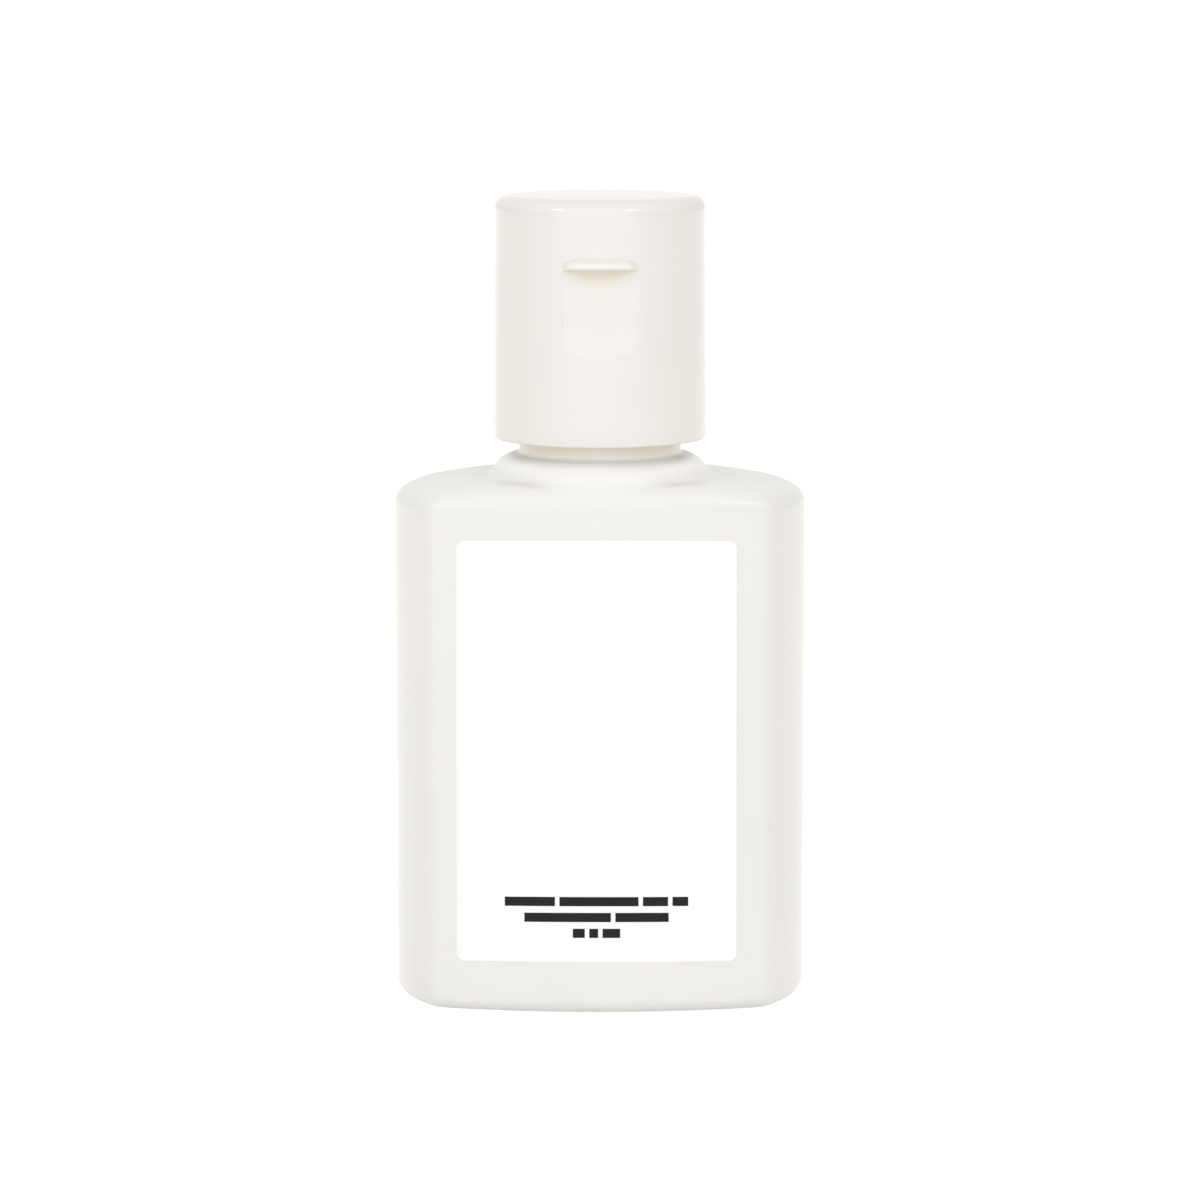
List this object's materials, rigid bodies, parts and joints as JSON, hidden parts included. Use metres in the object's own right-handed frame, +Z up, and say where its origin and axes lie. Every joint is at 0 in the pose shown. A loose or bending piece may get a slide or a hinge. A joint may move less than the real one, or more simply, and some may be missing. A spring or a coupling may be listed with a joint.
{
  "type": "small flip-top lotion bottle",
  "caption": "Flat squeeze bottle with rounded corners and sloping shoulders, a label on each face, and a screw-on cap with a hinged snap lid over a spout.",
  "frame": {"origin": "on the table, at the middle of the bottle's base, on the neck's axis", "axes": "+Z up along the neck's axis, -Y out of the front label, +X to the right as seen from the front"},
  "size_m": [0.0332, 0.0194, 0.0649],
  "materials": {
    "bottle_plastic": "white blow-moulded polyethylene, satin",
    "cap_plastic": "white injection-moulded polypropylene, semi-gloss",
    "label_paper": "white coated film label",
    "seal_foam": "white polyethylene foam"
  },
  "bodies": {
    "bottle": {"bottle": "bottle_plastic", "front_label": "label_paper", "back_label": "label_paper"},
    "seal": {"seal_ring": "seal_foam"},
    "cap": {"cap_base": "cap_plastic", "hinge_film_left": "cap_plastic", "hinge_film_right": "cap_plastic", "hinge_strap": "cap_plastic"},
    "lid": {"cap_lid": "cap_plastic"}
  },
  "joints": [
    {"name": "cap_rise", "type": "slide", "parent": "bottle", "child": "seal", "axis": [0, 0, 1], "range_m": [0, 0.00424]},
    {"name": "cap_turn", "type": "hinge", "parent": "seal", "child": "cap", "pos_m": [0, 0, 0.045], "axis": [0, 0, 1], "range_deg": [0, 720]},
    {"name": "lid_hinge", "type": "hinge", "parent": "cap", "child": "lid", "pos_m": [0, 0.009, 0.05935], "axis": [-1, 0, 0], "range_deg": [0, 170], "deforming": ["hinge_film_left", "hinge_film_right", "hinge_strap"]}
  ],
  "couplings": [
    {"joint": "cap_rise", "follows": "cap_turn", "m_per_rad": 0.00033693}
  ]
}
